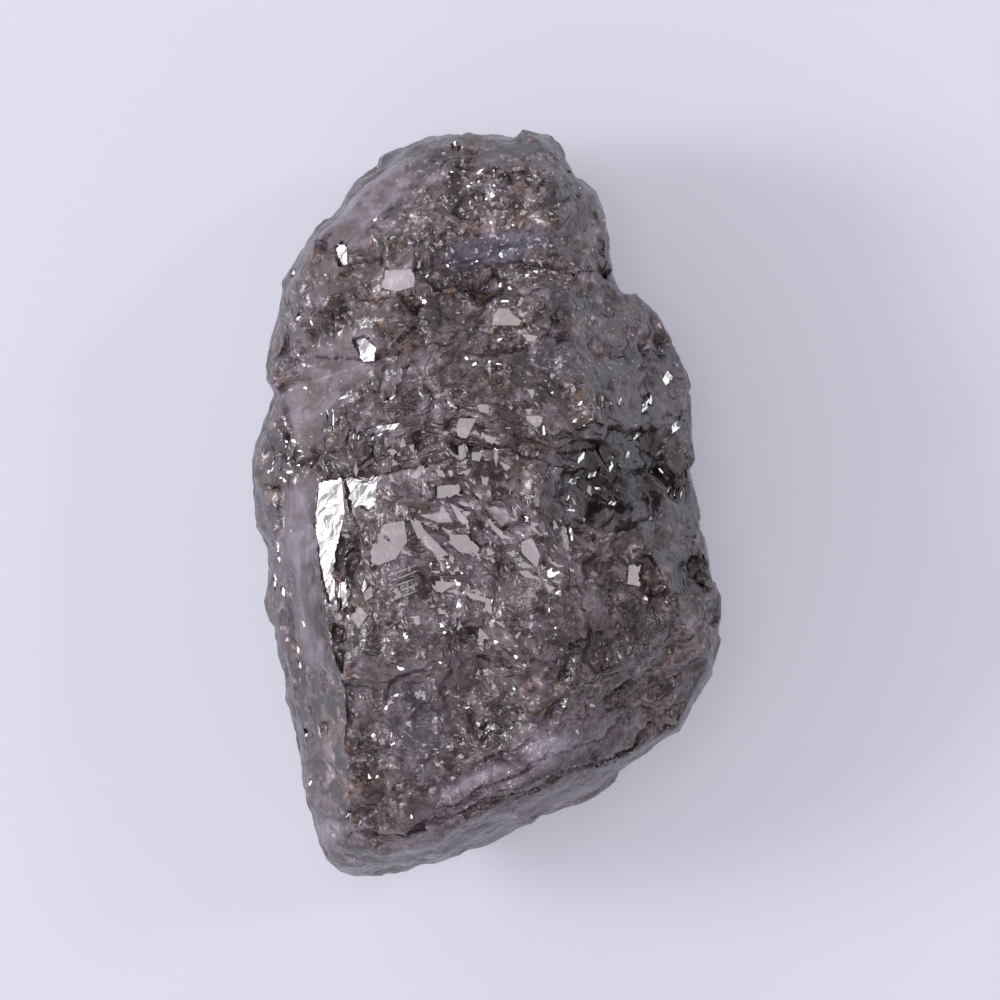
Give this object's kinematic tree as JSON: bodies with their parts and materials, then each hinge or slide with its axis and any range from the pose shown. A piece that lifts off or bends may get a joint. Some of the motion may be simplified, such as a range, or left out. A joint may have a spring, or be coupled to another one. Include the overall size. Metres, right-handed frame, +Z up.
{
  "type": "rough diamond",
  "caption": "Single uncut rough diamond lump, grey-brown, with stepped crystal faces, lying on its flattest side.",
  "frame": {"origin": "under the middle of the stone's bounding box, on the surface that its flat base rests on", "axes": "+Z up out of the surface; +Y along the stone, towards its narrower upper block; +X across it, towards the side with the shoulder"},
  "size_m": [0.006, 0.0096, 0.0046],
  "materials": {
    "rough_diamond_crystal": "grey-brown, cloudy, glossy flat crystal faces among finely broken ones"
  },
  "bodies": {
    "root": {"rough_diamond": "rough_diamond_crystal"}
  },
  "joints": []
}
